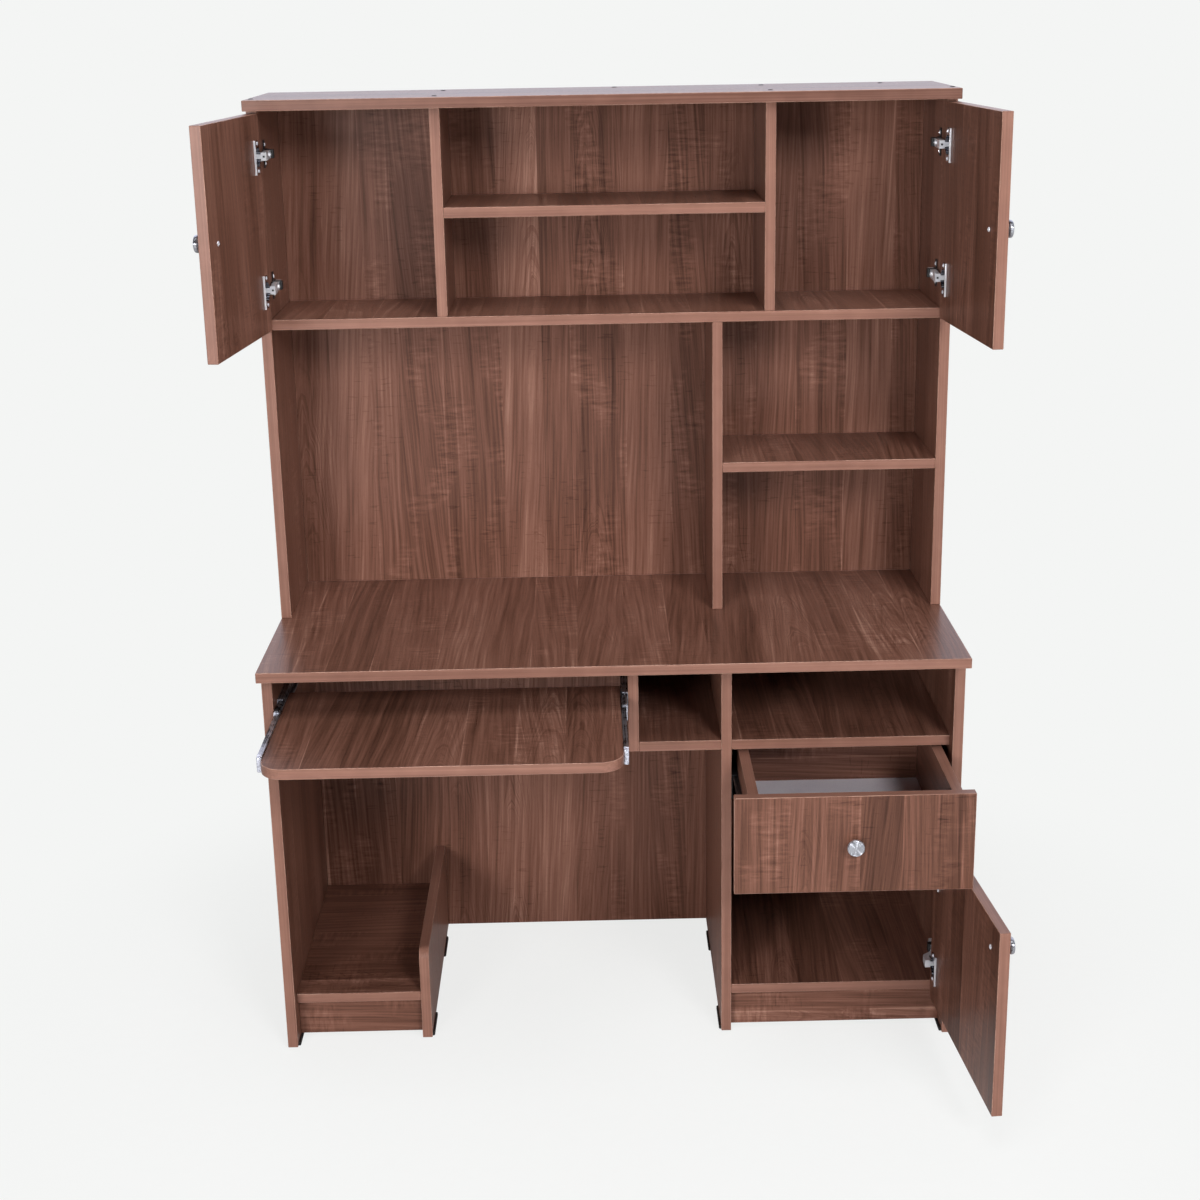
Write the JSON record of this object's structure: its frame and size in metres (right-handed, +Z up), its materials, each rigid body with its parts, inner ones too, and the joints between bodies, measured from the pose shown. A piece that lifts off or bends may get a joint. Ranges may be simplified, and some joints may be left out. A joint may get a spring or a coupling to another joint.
{
  "type": "study desk",
  "caption": "Walnut laminate computer desk with a hutch, hinged cabinet doors, a pull-out keyboard tray, a pedestal with a drawer and cupboard, and a tower bay.",
  "frame": {"origin": "on the floor under the middle of the whole desk as pictured, with its doors, drawer and tray open", "axes": "+Z up, +X to the right as seen from the sitter's side, +Y towards the back of the desk"},
  "size_m": [1.32, 0.8921, 1.68],
  "materials": {
    "walnut_laminate": "satin",
    "white_board": "matte",
    "nickel_steel": "polished",
    "zinc_steel": "satin",
    "chrome": "polished"
  },
  "bodies": {
    "carcass": {"desktop": "walnut_laminate", "left_side_panel": "walnut_laminate", "right_side_panel": "walnut_laminate", "pedestal_partition": "walnut_laminate", "cpu_divider": "walnut_laminate", "modesty_panel": "walnut_laminate", "cubby_divider": "walnut_laminate", "cubby_floor": "walnut_laminate", "pedestal_shelf": "walnut_laminate", "pedestal_floor": "walnut_laminate", "pedestal_plinth": "walnut_laminate", "cpu_floor": "walnut_laminate", "cpu_plinth": "walnut_laminate", "hutch_top": "walnut_laminate", "hutch_left_side": "walnut_laminate", "hutch_right_side": "walnut_laminate", "hutch_back": "walnut_laminate", "hutch_deck": "walnut_laminate", "hutch_left_divider": "walnut_laminate", "hutch_right_divider": "walnut_laminate", "hutch_middle_shelf": "walnut_laminate", "hutch_lower_divider": "walnut_laminate", "hutch_lower_shelf": "walnut_laminate", "upper_left_door_lower_hinge_arm": "nickel_steel", "upper_left_door_upper_hinge_arm": "nickel_steel", "upper_right_door_lower_hinge_arm": "nickel_steel", "upper_right_door_upper_hinge_arm": "nickel_steel", "pedestal_door_lower_hinge_arm": "nickel_steel", "pedestal_door_upper_hinge_arm": "nickel_steel", "drawer_slide_left_channel": "zinc_steel", "drawer_slide_right_channel": "zinc_steel", "tray_slide_left_channel": "zinc_steel", "tray_slide_right_channel": "zinc_steel"},
    "upper_left_door": {"upper_left_door_panel": "walnut_laminate", "upper_left_door_knob": "chrome", "upper_left_door_lower_hinge_cup": "nickel_steel", "upper_left_door_upper_hinge_cup": "nickel_steel"},
    "upper_right_door": {"upper_right_door_panel": "walnut_laminate", "upper_right_door_knob": "chrome", "upper_right_door_lower_hinge_cup": "nickel_steel", "upper_right_door_upper_hinge_cup": "nickel_steel"},
    "pedestal_door": {"pedestal_door_panel": "walnut_laminate", "pedestal_door_knob": "chrome", "pedestal_door_lower_hinge_cup": "nickel_steel", "pedestal_door_upper_hinge_cup": "nickel_steel"},
    "drawer": {"drawer_front": "walnut_laminate", "drawer_left_side": "walnut_laminate", "drawer_right_side": "walnut_laminate", "drawer_back": "walnut_laminate", "drawer_bottom": "white_board", "drawer_knob": "chrome", "drawer_slide_left_rail": "zinc_steel", "drawer_slide_right_rail": "zinc_steel"},
    "keyboard_tray": {"keyboard_tray_board": "walnut_laminate", "tray_slide_left_rail": "zinc_steel", "tray_slide_right_rail": "zinc_steel"},
    "tray_slide_middles": {"tray_slide_left_middle": "zinc_steel", "tray_slide_right_middle": "zinc_steel"}
  },
  "joints": [
    {"name": "upper_left_door_hinge", "type": "hinge", "parent": "carcass", "child": "upper_left_door", "pos_m": [-0.6015, 0.17565, 1.47125], "axis": [0, 0, 1], "range_deg": [-1.6, 96.4]},
    {"name": "upper_right_door_hinge", "type": "hinge", "parent": "carcass", "child": "upper_right_door", "pos_m": [0.6015, 0.17565, 1.47125], "axis": [0, 0, -1], "range_deg": [-3.2, 94.8]},
    {"name": "pedestal_door_hinge", "type": "hinge", "parent": "carcass", "child": "pedestal_door", "pos_m": [0.583, -0.05435, 0.2355], "axis": [0, 0, -1], "range_deg": [-3, 94.7]},
    {"name": "drawer_slide", "type": "slide", "parent": "carcass", "child": "drawer", "axis": [0, -1, 0], "range_m": [-0.232, 0.068]},
    {"name": "keyboard_tray_slide", "type": "slide", "parent": "carcass", "child": "keyboard_tray", "axis": [0, -1, 0], "range_m": [-0.25, 0.05]},
    {"name": "tray_middle_slide", "type": "slide", "parent": "carcass", "child": "tray_slide_middles", "axis": [0, -1, 0], "range_m": [-0.125, 0.025]}
  ],
  "couplings": [
    {"joint": "tray_middle_slide", "follows": "keyboard_tray_slide", "ratio": 0.5}
  ]
}
